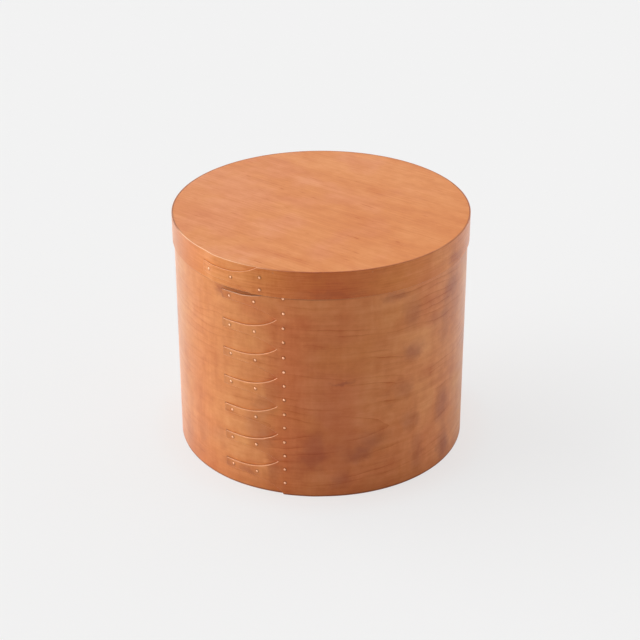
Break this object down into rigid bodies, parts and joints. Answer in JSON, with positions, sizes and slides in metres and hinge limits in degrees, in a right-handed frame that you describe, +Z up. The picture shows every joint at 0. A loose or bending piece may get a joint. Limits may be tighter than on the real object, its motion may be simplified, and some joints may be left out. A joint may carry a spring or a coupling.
{
  "type": "shaker box",
  "caption": "Round bentwood box with a lift-off lid: thin cherry bands lapped with swallowtail fingers and copper tacks, pegged round flat boards.",
  "frame": {"origin": "on the box's axis, at the underside that it rests on", "axes": "+Z up along the box's axis, the laps face -Y, and their fingers point to -X"},
  "size_m": [0.3, 0.3003, 0.2492],
  "materials": {
    "band_wood": "satin oiled cherry",
    "board_wood": "satin oiled cherry",
    "peg_wood": "satin oiled cherry, end grain",
    "tack_copper": "bright copper"
  },
  "bodies": {
    "box": {"box_band": "band_wood", "box_bottom": "board_wood", "bottom_peg_01": "peg_wood", "bottom_peg_02": "peg_wood", "bottom_peg_03": "peg_wood", "bottom_peg_04": "peg_wood", "bottom_peg_05": "peg_wood", "bottom_peg_06": "peg_wood", "bottom_peg_07": "peg_wood", "bottom_peg_08": "peg_wood", "bottom_peg_09": "peg_wood", "bottom_peg_10": "peg_wood", "box_row_tack_01": "tack_copper", "box_row_tack_02": "tack_copper", "box_row_tack_03": "tack_copper", "box_row_tack_04": "tack_copper", "box_row_tack_05": "tack_copper", "box_row_tack_06": "tack_copper", "box_row_tack_07": "tack_copper", "box_row_tack_08": "tack_copper", "box_row_tack_09": "tack_copper", "box_row_tack_10": "tack_copper", "box_row_tack_11": "tack_copper", "box_row_tack_12": "tack_copper", "box_row_tack_13": "tack_copper", "box_row_tack_14": "tack_copper", "box_mid_tack_01": "tack_copper", "box_mid_tack_02": "tack_copper", "box_mid_tack_03": "tack_copper", "box_mid_tack_04": "tack_copper", "box_mid_tack_05": "tack_copper", "box_mid_tack_06": "tack_copper", "box_mid_tack_07": "tack_copper", "box_tip_tack_01": "tack_copper", "box_tip_tack_02": "tack_copper", "box_tip_tack_03": "tack_copper", "box_tip_tack_04": "tack_copper", "box_tip_tack_05": "tack_copper", "box_tip_tack_06": "tack_copper", "box_tip_tack_07": "tack_copper"},
    "lid": {"lid_band": "band_wood", "lid_top": "board_wood", "lid_peg_01": "peg_wood", "lid_peg_02": "peg_wood", "lid_peg_03": "peg_wood", "lid_peg_04": "peg_wood", "lid_peg_05": "peg_wood", "lid_peg_06": "peg_wood", "lid_peg_07": "peg_wood", "lid_peg_08": "peg_wood", "lid_peg_09": "peg_wood", "lid_peg_10": "peg_wood", "lid_row_tack_01": "tack_copper", "lid_row_tack_02": "tack_copper", "lid_mid_tack": "tack_copper", "lid_tip_tack": "tack_copper"}
  },
  "joints": [
    {"name": "lid_lift", "type": "slide", "parent": "box", "child": "lid", "axis": [0, 0, 1], "range_m": [0, 0.12]}
  ]
}
